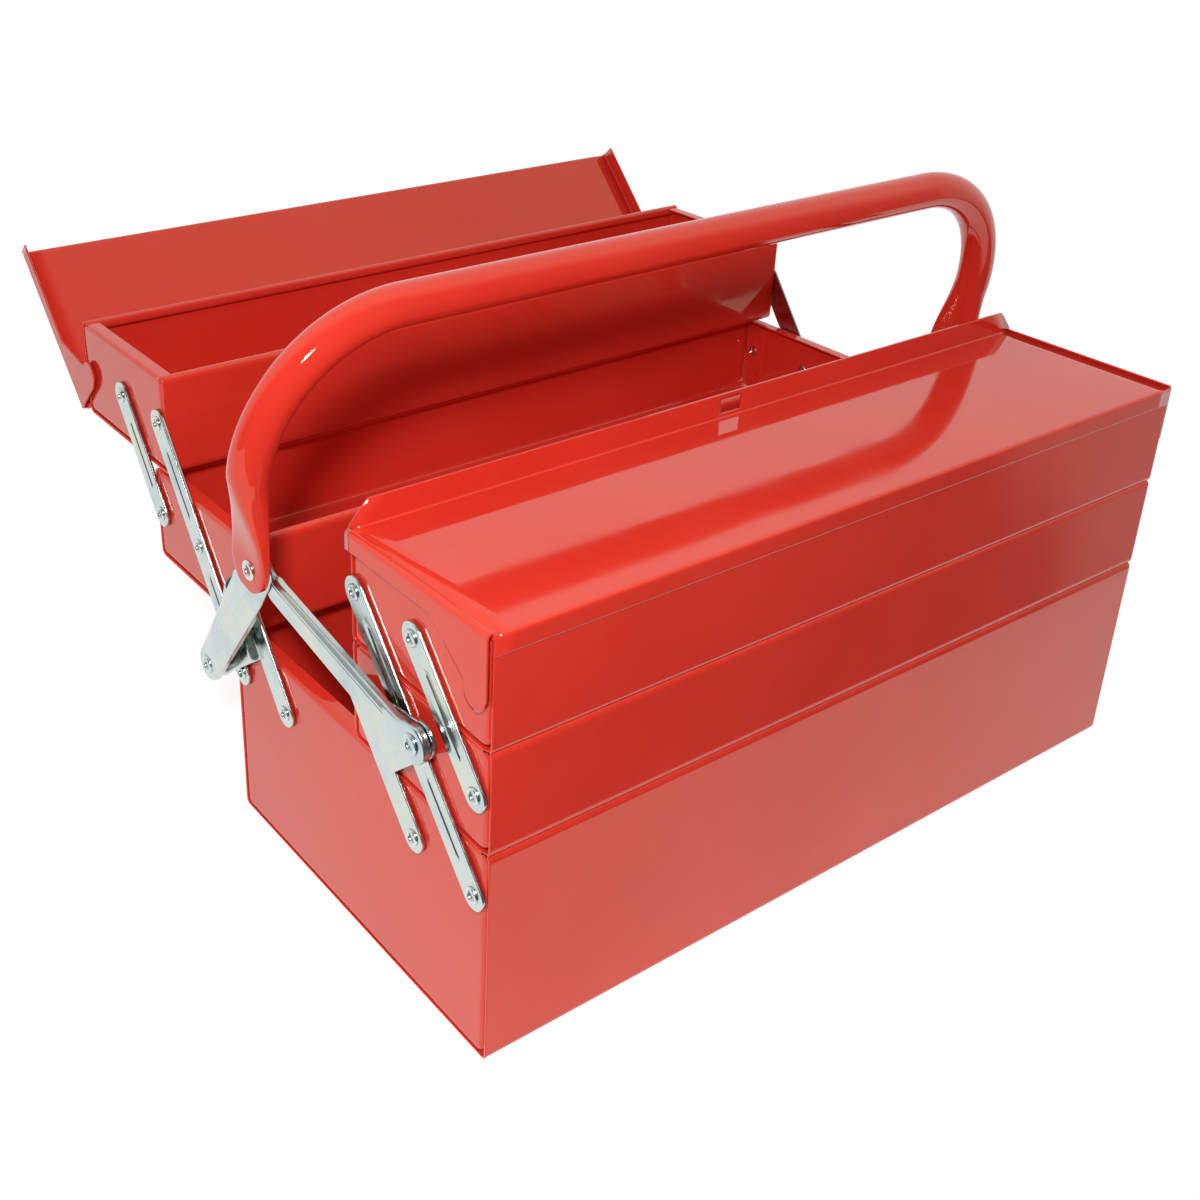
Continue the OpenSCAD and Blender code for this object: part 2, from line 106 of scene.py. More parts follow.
def aboutX(angle, pivot):
    # turn about a line along X through pivot = (y, z)
    m = np.eye(3)
    m[1:, 1:] = np.array([turned([1, 0], angle), turned([0, 1], angle)]).T
    p = np.array([0, pivot[0], pivot[1]])
    return m, p - m @ p


def chain(second, first):
    # first, and then second
    return second[0] @ first[0], second[0] @ first[1] + second[1]


def toBackRow(row):
    # mirrored to the back, and moved with the open row
    return np.diag([1.0, -1.0, 1.0]), np.array([0, row * openShift[0], row * openShift[1]])


def toBackLink(pivot, row):
    # mirrored, and opened about the link's own lower pivot
    mirrored = toBackRow(row)
    place = mirrored[0] @ [0, pivot[0], pivot[1]] + mirrored[1]
    return chain(aboutX(-box["swing"], place[1:]), mirrored)


def toOpenLid():
    # mirrored with the back top tray, and opened about the hinge
    mirrored = toBackRow(2)
    place = mirrored[0] @ [0, lidPivot[0], lidPivot[1]] + mirrored[1]
    return chain(aboutX(-box["lidOpen"], place[1:]), mirrored)


def toLeft(place):
    # the same at the other end: x becomes -x
    m, o = place
    flip = np.diag([-1.0, 1.0, 1.0])
    return flip @ m, flip @ o


# Building blocks
def smooth(t):
    # 3 t^2 - 2 t^3 between 0 and 1
    t = np.clip(t, 0, 1)
    return t * t * (3 - 2 * t)


def arc(centre, radius, start, end, steps):
    # centre + radius (cos a, sin a), with a from start to end in degrees
    a = np.radians(np.linspace(start, end, steps))
    return np.stack([centre[0] + radius * np.cos(a), centre[1] + radius * np.sin(a)], 1)


def stacked(x, y, z):
    # points from x, y and z, each spread to the shape of all three
    return np.stack(np.broadcast_arrays(x, y, z), -1)


def grid(points, closeAcross=False, flip=False):
    # quads of a grid of points: four neighbours each, joined to the first column if it closes
    n, m = points.shape[:2]
    index = np.arange(n * m).reshape(n, m)
    if closeAcross:
        index = np.concatenate([index, index[:, :1]], 1)
    quads = np.stack([index[:-1, :-1], index[1:, :-1], index[1:, 1:], index[:-1, 1:]], -1)
    quads = quads.reshape(-1, 4)
    return points.reshape(-1, 3), quads[:, ::-1] if flip else quads


def joined(*parts):
    # several grids as one set of points and quads
    points = np.concatenate([p for p, _ in parts])
    starts = np.cumsum([0] + [len(p) for p, _ in parts[:-1]])
    return points, np.concatenate([q + s for (_, q), s in zip(parts, starts)])


def placed(part, place):
    # a mirroring placement turns the faces round, so that they still point outwards
    points, quads = part
    m, o = place
    return points @ m.T + o, quads[:, ::-1] if np.linalg.det(m) < 0 else quads


def bothEnds(part, place):
    return joined(placed(part, place), placed(part, toLeft(place)))


metre = 0.001           # one millimetre in metres
weldDigits = 4          # points that agree to this many decimals are one


def addPiece(name, part, body, material, nodes, thickness=0.0, sharp=38.0):
    # welds equal points, drops empty faces, makes the mesh in metres, and hands it to the frame
    points, quads = part
    keys, back = np.unique(np.round(points, weldDigits), axis=0, return_inverse=True)
    quads = back.reshape(-1)[quads]
    double = quads == np.roll(quads, -1, axis=1)
    opposite = (quads[:, 0] == quads[:, 2]) | (quads[:, 1] == quads[:, 3])
    whole = quads[(double.sum(1) == 0) & ~opposite]
    short = (double.sum(1) == 1) & ~opposite
    triangles = quads[short][~double[short]].reshape(-1, 3)
    mesh = bpy.data.meshes.new(name)
    mesh.from_pydata((keys * metre).tolist(), [], whole.tolist() + triangles.tolist())
    mesh.validate()
    mesh.shade_smooth()
    mesh.set_sharp_from_angle(angle=math.radians(sharp))
    mesh.materials.append(material)
    piece = bpy.data.objects.new(name, mesh)
    bpy.context.scene.collection.objects.link(piece)
    if thickness:
        wall = piece.modifiers.new("sheetThickness", "SOLIDIFY")
        wall.thickness = thickness * metre
        wall.offset = -1
        wall.use_even_offset = True
        wall.use_rim = True
    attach(piece, body)
    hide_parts(*nodes)


def addPair(name, part, place, body, material, node, thickness=0.0):
    # one piece at the right end, and its mirror image at the left end
    for end, endPlace in (("right", place), ("left", toLeft(place))):
        addPiece(f"{name}_{end}", placed(part, endPlace), body, material,
                 [f"{node}_{end}"], thickness)


# Materials
def setInputs(tree, node, values):
    # each named or numbered input gets its number, or a link from another node's output
    for name, value in values.items():
        if isinstance(value, bpy.types.NodeSocket):
            tree.links.new(value, node.inputs[name])
        else:
            node.inputs[name].default_value = value


def newNode(tree, kind, values):
    node = tree.nodes.new("ShaderNode" + kind)
    setInputs(tree, node, values)
    return node


def newMaterial(name):
    # a material, its node tree, and its principled shader
    material = bpy.data.materials.new(name)
    material.use_nodes = True
    tree = material.node_tree
    return material, tree, next(n for n in tree.nodes if n.type == "BSDF_PRINCIPLED")


def noise(tree, scale, detail, roughness=0.5):
    # fractal noise on object coordinates, in cycles per metre
    here = newNode(tree, "TexCoord", {}).outputs["Object"]
    values = {"Vector": here, "Scale": scale, "Detail": detail, "Roughness": roughness}
    return newNode(tree, "TexNoise", values).outputs["Fac"]


def blended(tree, factor, places, colours):
    # colour ramp with the three given stops
    ramp = newNode(tree, "ValToRGB", {"Fac": factor})
    ramp.color_ramp.elements.new(0.5)
    for element, place, colour in zip(ramp.color_ramp.elements, places, colours):
        element.position, element.color = place, (*colour, 1)
    return ramp.outputs["Color"]


noiseLow, noiseHigh = 0.3, 0.7          # between these lies most of a fractal noise


def ranged(tree, value, low, high):
    # value between noiseLow and noiseHigh spread over low to high
    values = {"Value": value, "From Min": noiseLow, "From Max": noiseHigh,
              "To Min": low, "To Max": high}
    return newNode(tree, "MapRange", values).outputs["Result"]


def bumped(tree, heights):
    # bumps one after another, each a (height, distance in metres) pair
    values = {"Strength": 1.0}
    for height, distance in heights:
        bump = newNode(tree, "Bump", {**values, "Height": height, "Distance": distance})
        values["Normal"] = bump.outputs["Normal"]
    return values["Normal"]


paint = {
    "darker": (0.66, 0.029, 0.017), "colour": (0.69, 0.034, 0.020), "lighter": (0.72, 0.040, 0.024),
    "toneStops": (0.3, 0.5, 0.75), "toneScale": 9.0,
    "roughLow": 0.035, "roughHigh": 0.09, "hazeScale": 55.0,
    "gloss": 1.58, "tint": (1.0, 0.86, 0.58),     # index of refraction, and colour of reflections
    "peelScale": 420.0, "peelDepth": 0.000006,    # orange peel
    "waveScale": 13.0, "waveDepth": 0.00028,      # slight waviness of the sheet
}


def makePaint(name, wave):
    # glossy enamel: three tones and the roughness by noise, orange peel, and waves on sheet
    material, tree, shader = newMaterial(name)
    tone, haze = noise(tree, paint["toneScale"], 4.0, 0.6), noise(tree, paint["hazeScale"], 3.0)
    bumps = [(noise(tree, paint["waveScale"], 1.0), paint["waveDepth"])] if wave else []
    bumps.append((noise(tree, paint["peelScale"], 2.0), paint["peelDepth"]))
    tones = [paint[colour] for colour in ("darker", "colour", "lighter")]
    setInputs(tree, shader, {
        "Base Color": blended(tree, tone, paint["toneStops"], tones),
        "Roughness": ranged(tree, haze, paint["roughLow"], paint["roughHigh"]),
        "IOR": paint["gloss"], "Specular Tint": (*paint["tint"], 1), "Normal": bumped(tree, bumps)})
    return material


zinc = {
    "blue": (0.46, 0.56, 0.58), "plain": (0.56, 0.64, 0.62), "yellow": (0.64, 0.66, 0.56),
    "tintStops": (0.32, 0.5, 0.68), "tintScale": 38.0,
    "roughLow": 0.14, "roughHigh": 0.30, "hazeScale": 140.0,
    "grainScale": 900.0, "grainDepth": 0.000008,
}


def makeZinc(name, lighter):
    # plated steel: three tints and the roughness by noise, each c lightened to c + lighter (1 - c)
    material, tree, shader = newMaterial(name)
    tint, haze = noise(tree, zinc["tintScale"], 3.0, 0.6), noise(tree, zinc["hazeScale"], 4.0)
    tints = [tuple(c + lighter * (1 - c) for c in zinc[colour])
             for colour in ("blue", "plain", "yellow")]
    setInputs(tree, shader, {
        "Metallic": 1.0, "Base Color": blended(tree, tint, zinc["tintStops"], tints),
        "Roughness": ranged(tree, haze, zinc["roughLow"], zinc["roughHigh"]),
        "Normal": bumped(tree, [(noise(tree, zinc["grainScale"], 3.0), zinc["grainDepth"])])})
    return material


sheetPaint = makePaint("redSheetPaint", True)
tubePaint = makePaint("redTubePaint", False)
linkZinc = makeZinc("zincPlating", 0.0)
rivetZinc = makeZinc("rivetPlating", 0.15)
print("materials made")


# Folded sheets: front wall, floor and back wall in one, with rolled top edges. The path is the
# inner skin, and the thickness of the sheet is added outside it.
fold = {
    "bottom": 3.0, "top": 2.0,          # radius of the bottom bend and of the rolled top edge
    "hem": 3.4, "hemInner": 1.2,        # reach of the hem, and radius of its inner turn
    "lipLow": 3.6, "lipHigh": 0.8,      # the lip ends this far under the edge, and under the turn
    "near": 0.5,                        # an extra row this close to an edge keeps the wall flat
    "edgeX": 201.85, "wallSteps": 9, "alongSteps": 25,
}


def sheetPath(y0, y1, z0, z1):
    # lip, rolled top edge, wall, bottom bend and half the floor; the other half is its mirror
    rb, rt, ri, near, steps = (fold["bottom"], fold["top"], fold["hemInner"], fold["near"],
                               fold["wallSteps"])
    lipY = y0 + fold["hem"]
    lip = np.array([[lipY, z1 - fold["lipLow"]], [lipY, z1 - ri - fold["lipHigh"]]])
    inner = arc((lipY - ri, z1 - ri), ri, 0, 90, 6)
    outer = arc((y0 + rt, z1 - rt), rt, 90, 180, 8)
    wall = np.stack([np.full(steps, y0), np.linspace(z1 - rt - near, z0 + rb + near, steps)], 1)
    bend = arc((y0 + rb, z0 + rb), rb, 180, 270, 9)
    half = np.concatenate([lip, inner, outer, wall, bend])
    other = half[::-1] * [-1, 1] + [y0 + y1, 0]
    floor = np.stack([np.linspace(y0 + rb, y1 - rb, steps)[1:-1], np.full(steps - 2, z0)], 1)
    return np.concatenate([half, floor, other])


def foldedSheet(y0, y1, z0, z1):
    # (x, path): the path carried straight along the box
    path = sheetPath(y0, y1, z0, z1)
    edge, near = fold["edgeX"], fold["near"]
    between = np.linspace(-edge + near, edge - near, fold["alongSteps"])
    x = np.concatenate([[-edge], between, [edge]])
    return grid(stacked(x[:, None], path[None, :, 0], path[None, :, 1]))


# Tabs behind the end panels, bent in from the long walls
tab = {
    "width": 14.0, "fromWall": 1.0,                         # along the panel
    "overFloor": 4.0, "underLip": 2.0,                      # clear of the floor and of the lip
    "rimDepth": 0.35, "rimWidth": 0.6,
    "weldDepth": 0.28, "weldSpread": 3.2, "weldShift": 1.0,
    "weldLow": 0.2, "weldHigh": 0.78,                       # parts of the wall's height
}


def tabPlate(y0, y1, z0, z1, wallSide):
    # a flat plate whose rim sinks by depth (1 - smooth(distance / width)), with two shallow
    # spot welds of height depth exp(-distance^2 / spread)
    x, sheet = box["endX"] - 2 * box["sheet"], box["sheet"]
    y = np.linspace(y0, y1, 25)
    z = np.linspace(z0 + tab["overFloor"], z1 - fold["lipLow"] - tab["underLip"], 41)
    yy, zz = np.meshgrid(y, z, indexing="ij")
    offCentre = yy - (y0 + y1) / 2 - wallSide * tab["weldShift"]
    dents = sum(np.exp(-(offCentre ** 2 + (zz - (z0 + part * (z1 - z0))) ** 2) / tab["weldSpread"])
                for part in (tab["weldLow"], tab["weldHigh"]))
    free = (y1 - yy) if wallSide > 0 else (yy - y0)
    inside = np.minimum(np.minimum(free, zz - z.min()), z.max() - zz)
    rim = tab["rimDepth"] * (1 - smooth(inside / tab["rimWidth"]))
    face, back = stacked(x + tab["weldDepth"] * dents + rim, yy, zz), stacked(x + sheet, yy, zz)
    around = [np.concatenate([g[:, 0], g[-1, :], g[::-1, -1], g[0, ::-1]]) for g in (face, back)]
    return joined(grid(face), grid(back, flip=True), grid(np.stack(around, 0), flip=True))


# End panels: pressed pans
panel = {
    "side": 2.0, "corner": 4.5,         # radius of the bent sides, and of the lower corners
    "clear": 0.05, "skirt": 0.9,        # gap to the folded sheet, and depth of the skirt behind
    "rimRadius": 2.0, "rimWidth": 7.6,  # rolled top edge, and the flat rim behind it
    "rimMiddle": 4.5, "rimEdge": 0.4, "rimDrop": 0.35, "mitre": 2.75,
    "near": (0, 0.12, 0.45, 1.0, 1.7, 2.4, 3.0, 3.6),       # rows and columns across the bend
    "plain": 5.0, "plainTop": 4.0, "plainSteps": 14,        # and where the plain ones start and end
    "nearTop": (2.5, 1.2, 0),
}


def bentBack(radius, inside):
    # radius - sqrt(radius^2 - (radius - inside)^2), which is 0 further in than the radius
    return radius - np.sqrt(np.maximum(radius ** 2 - np.maximum(radius - inside, 0) ** 2, 0))


def endPanel(y0, y1, z0, z1):
    # the face bends back by its radius around the sides and the bottom, and over the top into a
    # flat rim; a point lies back by bentBack of its distance from the outline
    x1, side, corner, rimRadius = box["endX"], panel["side"], panel["corner"], panel["rimRadius"]
    edgeGap = box["sheet"] + panel["clear"]
    ya, yb, za = y0 + edgeGap, y1 - edgeGap, z0 + edgeGap
    near, steps, rimStart = np.array(panel["near"]), panel["plainSteps"], z1 - rimRadius
    zPlain = np.linspace(za + panel["plain"], rimStart - panel["plainTop"], steps)
    zFace = np.concatenate([za + near, zPlain, rimStart - np.array(panel["nearTop"])])
    dz = zFace - za
    inset = bentBack(corner, dz)
    acrossLeft = np.concatenate([near, np.linspace(panel["plain"], (yb - ya) / 2, steps)])
    share = np.concatenate([acrossLeft, (yb - ya) - acrossLeft[-2::-1]]) / (yb - ya)
    yy = (ya + inset)[:, None] + ((yb - ya) - 2 * inset)[:, None] * share[None]
    edgeY = np.minimum(yy - (ya + inset)[:, None], (yb - inset)[:, None] - yy)
    edge = np.minimum(np.maximum(edgeY, 0), np.broadcast_to(dz[:, None], yy.shape))
    fromSide = np.minimum(yy - ya, yb - yy)
    inCorner = (dz[:, None] < corner) & (fromSide < corner)
    fromArc = corner - np.hypot(corner - dz[:, None], corner - fromSide)
    drop = bentBack(side, np.where(inCorner, np.maximum(fromArc, 0), edge))
    face = stacked(x1 - drop, yy, zFace[:, None])
    # rows over the rolled top edge and along the rim, narrowing to the mitred corners
    a = np.radians(np.linspace(0, 90, 7))[1:]
    rimIn = np.array([panel["rimMiddle"], panel["rimWidth"] - panel["rimEdge"], panel["rimWidth"]])
    rollX = np.concatenate([x1 - rimRadius + rimRadius * np.cos(a), x1 - rimIn])
    rollZ = np.concatenate([rimStart + rimRadius * np.sin(a), [z1, z1, z1 - panel["rimDrop"]]])
    turn = np.concatenate([a, np.full(3, math.pi / 2)])
    narrow = panel["mitre"] * np.sin(turn)
    yyRoll = (ya + narrow)[:, None] + ((yb - ya) - 2 * narrow)[:, None] * share[None]
    dropRoll = drop[-1][None] * np.cos(turn)[:, None]
    face = np.concatenate([face, stacked(rollX[:, None] - dropRoll, yyRoll, rollZ[:, None])])
    # a short skirt straight back along the sides and the bottom
    rows = len(zFace)
    left, right, low = face[:rows, :1].copy(), face[:rows, -1:].copy(), face[:1].copy()
    for strip in (left, right, low):
        strip[..., 0] = x1 - side - panel["skirt"]
    skirts = (np.concatenate([left, face[:rows, :1]], 1),
              np.concatenate([face[:rows, -1:], right], 1), np.concatenate([low, face[:1]], 0))
    return joined(*(grid(points, flip=True) for points in (face, *skirts)))


def rowLimits(row):
    # y0, y1, z0, z1 of the base and of the two trays
    outer, inner, low, gap = -box["halfDepth"], -box["halfGap"], box["baseHeight"], box["gap"]
    if row == "base":
        return outer, -outer, 0.0, low
    if row == "mid":
        return outer, inner, low + gap, low + box["pitch"]
    return outer, inner, low + box["pitch"] + gap, box["lidTop"] - box["sheet"] - box["underLid"]


def addSheetRow(prefix, row, body, place):
    y0, y1, z0, z1 = rowLimits(row)
    near, far = tab["fromWall"], tab["fromWall"] + tab["width"]
    tabs = joined(tabPlate(y0 + near, y0 + far, z0, z1, 1.0),
                  tabPlate(y1 - far, y1 - near, z0, z1, -1.0))
    sheet = placed(foldedSheet(y0, y1, z0, z1), place)
    addPiece(prefix + "_folded_sheet", sheet, body, sheetPaint, [prefix + "_body"],
             thickness=box["sheet"])
    addPiece(prefix + "_tabs", bothEnds(tabs, place), body, sheetPaint,
             [prefix + "_body"])
    addPair(prefix + "_panel", endPanel(y0, y1, z0, z1), place, body, sheetPaint,
            prefix + "_end", box["sheet"])


addSheetRow("base", "base", "base", asDrawn())
addSheetRow("front_mid_tray", "mid", "front_mid_tray", asDrawn())
addSheetRow("front_top_tray", "top", "front_top_tray", asDrawn())
addSheetRow("back_mid_tray", "mid", "back_mid_tray", toBackRow(1))
addSheetRow("back_top_tray", "top", "back_top_tray", toBackRow(2))
print("base and trays made")


# Lids
lidSize = {
    "outY": 101.4, "innerY": 5.5, "bend": 1.6,
    "flange": 8.4, "flangeEdge": 0.4, "underBend": 0.8,     # front flange and its extra rows
    "strip": 11.5, "stripEdge": 0.6, "stripBend": 1.0,      # upright strip at the inner edge
    "chamferX": 9.0, "chamferZ": 7.7,                       # its cut-off ends
    "holeLength": 13.0, "holeLow": 1.8, "holeHigh": 9.2,    # padlock hole in the strip
    "near": 0.2, "plateSteps": 15, "alongSteps": 22,
    "sideDrop": 8.0, "slantY": -64.0,                       # side flange, and its slant's start
    "sideStart": 1.4, "sideNear": 0.25,
    "ear": 6.6, "earStart": 178.0, "earEnd": 24.0,          # round ear and its part of a circle
    "tangent": (0.92, 0.4),                                 # direction in which the slant leaves it
    "down": (0.04, 0.2, 0.4, 0.6, 0.8, 0.97, 1.0),          # rows down the side flange
}
lidHalf = box["endX"] + layer["lid"] + box["sheet"]


def lidPlate():
    # strip, hollow bend, plate, front bend and flange carried along X; the strip's ends are cut off
    # at an angle, and the faces of the padlock hole are left out
    z, out, r, rs = box["lidTop"], lidSize["outY"], lidSize["bend"], lidSize["stripBend"]
    inner, hole = lidSize["innerY"] + box["sheet"], lidSize["holeLength"] / 2
    stripTop, holeLow, holeHigh = (z + lidSize[name] for name in ("strip", "holeLow", "holeHigh"))
    stripZ = np.array([stripTop, stripTop - lidSize["stripEdge"], holeHigh, holeLow,
                       z + rs + lidSize["near"]])
    strip = np.stack([np.full(5, -inner), stripZ], 1)
    hollow = arc((-inner - rs, z + rs), rs, 0, -90, 6)
    steps = lidSize["plateSteps"]
    plate = np.stack([-np.linspace(inner + rs + 1, out - r - 1, steps), np.full(steps, z)], 1)
    bend = arc((-out + r, z - r), r, 90, 180, 8)
    low = z - lidSize["flange"]
    flangeZ = np.array([z - r - lidSize["underBend"], low + lidSize["flangeEdge"], low])
    path = np.concatenate([strip, hollow, plate, bend, np.stack([np.full(3, -out), flangeZ], 1)])
    holeShare = hole / lidHalf
    share = np.concatenate([np.linspace(-1, -holeShare - 0.01, lidSize["alongSteps"]),
                            [-holeShare, -holeShare * 0.5, 0]])
    share = np.concatenate([share, -share[-2::-1]])
    above = np.clip((path[:, 1] - (stripTop - lidSize["chamferZ"])) / lidSize["chamferZ"], 0, 1)
    onStrip = path[:, 0] > -inner - rs * 1.01
    reach = np.where(onStrip, lidHalf - box["sheet"] - lidSize["chamferX"] * above, lidHalf - r)
    inHole = np.abs(share[:, None]) <= holeShare + 1e-6
    x = np.where(inHole, share[:, None] * lidHalf, share[:, None] * reach[None])
    pts, quads = grid(stacked(x, path[:, 0], path[:, 1]), flip=True)
    centre = pts[quads].mean(1)
    holed = (np.abs(centre[:, 0]) < hole) & (centre[:, 2] > holeLow) & (centre[:, 2] < holeHigh)
    return pts, quads[~holed]


def lidSide():
    # side flange: from the plate over the bend, then down to z = bottom(y), a line that slants
    # to the round ear at the hinge
    z, out, r, ear = box["lidTop"], lidSize["outY"], lidSize["bend"], lidSize["ear"]
    tangent = lidPivot + ear * np.array(lidSize["tangent"])
    slantY, flat = lidSize["slantY"], z - lidSize["sideDrop"]
    earAngles = np.radians(np.linspace(lidSize["earStart"], lidSize["earEnd"], 26))
    y = np.concatenate([-out + lidSize["sideStart"] + np.array([0, lidSize["sideNear"]]),
                        lidPivot[0] + ear * np.cos(earAngles),
                        np.linspace(tangent[0] + 0.8, slantY, 12),
                        np.linspace(slantY + 1.5, -lidSize["innerY"], 18)])
    bottom = lidPivot[1] - np.sqrt(np.clip(ear ** 2 - (y - lidPivot[0]) ** 2, 0, None))
    slant = tangent[1] + (y - tangent[0]) * (flat - tangent[1]) / (slantY - tangent[0])
    bottom = np.where(y > tangent[0] + 0.1, np.minimum(slant, flat), bottom)
    bend = arc((lidHalf - r, z - r), r, 90, 0, 8)
    bendPart = np.broadcast_to(bend[None], (len(y), len(bend), 2))
    downZ = (z - r) + (bottom[:, None] - (z - r)) * np.array(lidSize["down"])[None]
    section = np.concatenate([bendPart, np.stack([np.full_like(downZ, lidHalf), downZ], -1)], 1)
    # the front corner is rounded with the front bend
    corner = np.clip((-out + r - y) / r, 0, 1)[:, None]
    back = r - np.sqrt(np.maximum(r ** 2 - (corner * r) ** 2, 0))
    zz = np.minimum(section[..., 1], z - back * (section[..., 1] > z - r - 0.01))
    return grid(stacked(section[..., 0], y[:, None], zz))


def addLid(name, body, node, place):
    part = joined(placed(lidPlate(), place), bothEnds(lidSide(), place))
    addPiece(name, part, body, sheetPaint, [node], thickness=box["sheet"])


addLid("front_lid_pressing", "front_lid", "front_lid", asDrawn())
addLid("back_lid_pressing", "back_lid", "back_lid", toOpenLid())
print("lids made")


# Flat links. A link frame has u along the link from its lower pivot, n across it and x outward.
linkPressing = {
    "edge": 0.55,                                           # radius of the rim
    "panHalf": 1.15, "panDepth": 0.3, "panFade": 1.1,       # wide shallow part of the groove
    "slotHalf": 0.2625, "slotDepth": 0.55, "slotFade": 0.4, # narrow deep part
    "fromRivet": 12.5, "endFade": 2.5,                      # where the groove ends
    "across": (0.03, 0.07, 0.12, 0.19, 0.27, 0.36, 0.5, 0.7, 0.9, 0.985),   # parts of a half width
    "lowRows": (0.3, 0.05), "lowIn": (0.0, 0.25),           # rows under the rim
}

linkTop = box["endX"] + layer["link"] + layer["linkThick"]


def fromLinkFrame(points, pivot, angle):
    # (x, u, n) to (x, y, z): the pivot plus u along the link and n across it
    c, s = math.cos(math.radians(angle)), math.sin(math.radians(angle))
    x, u, n = points[..., 0], points[..., 1], points[..., 2]
    return np.stack([x, pivot[0] + u * c - n * s, pivot[1] + u * s + n * c], -1)


def endStations(startRadius, length, endRadius, steps):
    # places along a bar with round ends, close together over the ends
    a = np.radians(np.linspace(0, 90, 15))
    middle = np.linspace(0, length, steps)[1:-1]
    return np.concatenate([-startRadius * np.cos(a), middle, length + endRadius * np.sin(a)])


def pastEnds(u, length):
    # distance past either pivot, 0 between them
    return np.maximum(np.maximum(-u, u - length), 0)


def flatLink(pivot, length, grooves):
    # closed section carried along the link: a plate with rounded rims, half as wide as
    # sqrt(r^2 - past^2). Its outer face sinks by the pan and the slot, which fade out in front
    # of each rivet
    press, r, t = linkPressing, box["linkWidth"] / 2, layer["linkThick"]
    x0, e = box["endX"] + layer["link"], linkPressing["edge"]
    u = endStations(r, length, r, 60)[:, None]
    w = np.sqrt(np.maximum(r ** 2 - pastEnds(u, length) ** 2, 0.0004))
    side = np.array(press["across"])
    flat = np.concatenate([-side[::-1], [0], side]) * np.maximum(w - e * 0.5, 0.01)
    depth = np.zeros_like(flat)
    for a, b in grooves:
        along = smooth((u - a) / press["endFade"]) * smooth((b - u) / press["endFade"])
        pan, slot = (press[name + "Depth"] * (1 - smooth((np.abs(flat) - press[name + "Half"])
                                                         / press[name + "Fade"]))
                     for name in ("pan", "slot"))
        depth = np.maximum(depth, along * (pan + slot))
    top = stacked(x0 + t - depth, u, flat)
    a = np.radians(np.array([70, 45, 20, 0]))
    rimIn = np.minimum(e, w * 0.5)
    rimHigh = stacked(x0 + t - e + e * np.sin(a), u, w - rimIn + rimIn * np.cos(a))
    low = stacked(x0 + np.array(press["lowRows"]), u, w - np.array(press["lowIn"]) * rimIn)
    rimOther, lowOther = rimHigh[:, ::-1] * [1, 1, -1], low[:, ::-1] * [1, 1, -1]
    bottom = stacked(x0, u, np.linspace(0.9, -0.9, 5) * w)
    loop = np.concatenate([top, rimHigh, low, bottom, lowOther, rimOther], 1)
    points, quads = grid(loop, closeAcross=True, flip=True)
    return fromLinkFrame(points, pivot, linkAngle), quads


def grooveSpan(start, end):
    return start + linkPressing["fromRivet"], end - linkPressing["fromRivet"]


wing = {
    "tipRadius": 8.0, "half": 7.4,              # round tip, and half width of the slanted side
    "low": 2.5, "joggleEnd": 12.0, "rowStart": 13.0,        # rows across the link
    "left": 26.5, "leftStep": 0.75, "leftStepAt": 35.0, "leftStepLength": 10.0,
    "joggleAt": 4.6, "joggleLength": 5.2, "sunk": 0.04,     # step outward from the link
    "share": (0.0, 0.015, 0.05, 0.12, 0.25, 0.4, 0.55, 0.7, 0.85, 0.93, 0.975, 1.0),
    "rim": (0.55, 0.2, 0.03, 0, 0, 0, 0, 0, 0, 0.03, 0.2, 0.55),
    "tipRim": 0.5, "tipRimAt": 7.0,
}


def wingPlate():
    # rows across the link from its upper side to the wing rivet. The plate steps outward by a
    # smooth joggle, and each row runs from the straight left edge to the slanted right edge
    x0, x1 = linkTop, box["endX"] + layer["wing"] + layer["wingThick"]
    tip, radius = turned(wingOffset, -linkAngle), wing["tipRadius"]
    n = np.concatenate([np.linspace(wing["low"], wing["joggleEnd"], 22),
                        np.linspace(wing["rowStart"], tip[1], 26),
                        tip[1] + radius * np.sin(np.radians(np.linspace(6, 90, 15)))])
    past = np.maximum(n - tip[1], 0)
    round_ = np.sqrt(np.maximum(radius ** 2 - past ** 2, 0.001))
    leftShare = smooth((n - wing["leftStepAt"]) / wing["leftStepLength"])
    straight = wing["left"] - wing["leftStep"] * leftShare
    left = np.where(n <= tip[1], straight, tip[0] - round_)
    axis = np.array([linkLength - tip[0], -tip[1]]) / math.hypot(linkLength - tip[0], tip[1])
    edge = tip + wing["half"] * np.array([-axis[1], axis[0]])
    right = np.where(n > edge[1], tip[0] + round_, edge[0] + (n - edge[1]) * axis[0] / axis[1])
    step = smooth((n - wing["joggleAt"]) / wing["joggleLength"])
    face = x0 - wing["sunk"] + (x1 - x0 + wing["sunk"]) * step
    uu = left[:, None] + (right - left)[:, None] * np.array(wing["share"])[None]
    tipRim = wing["tipRim"] * smooth(past - wing["tipRimAt"])
    rim = np.maximum(np.array(wing["rim"])[None], tipRim[:, None])
    outer = stacked(face[:, None] - rim, uu, n[:, None])
    inner = stacked(face[:, None] - layer["wingThick"], uu, n[:, None])[:, ::-1]
    points, quads = grid(np.concatenate([outer, inner], 1), closeAcross=True, flip=True)
    return fromLinkFrame(points, baseInner, linkAngle), quads


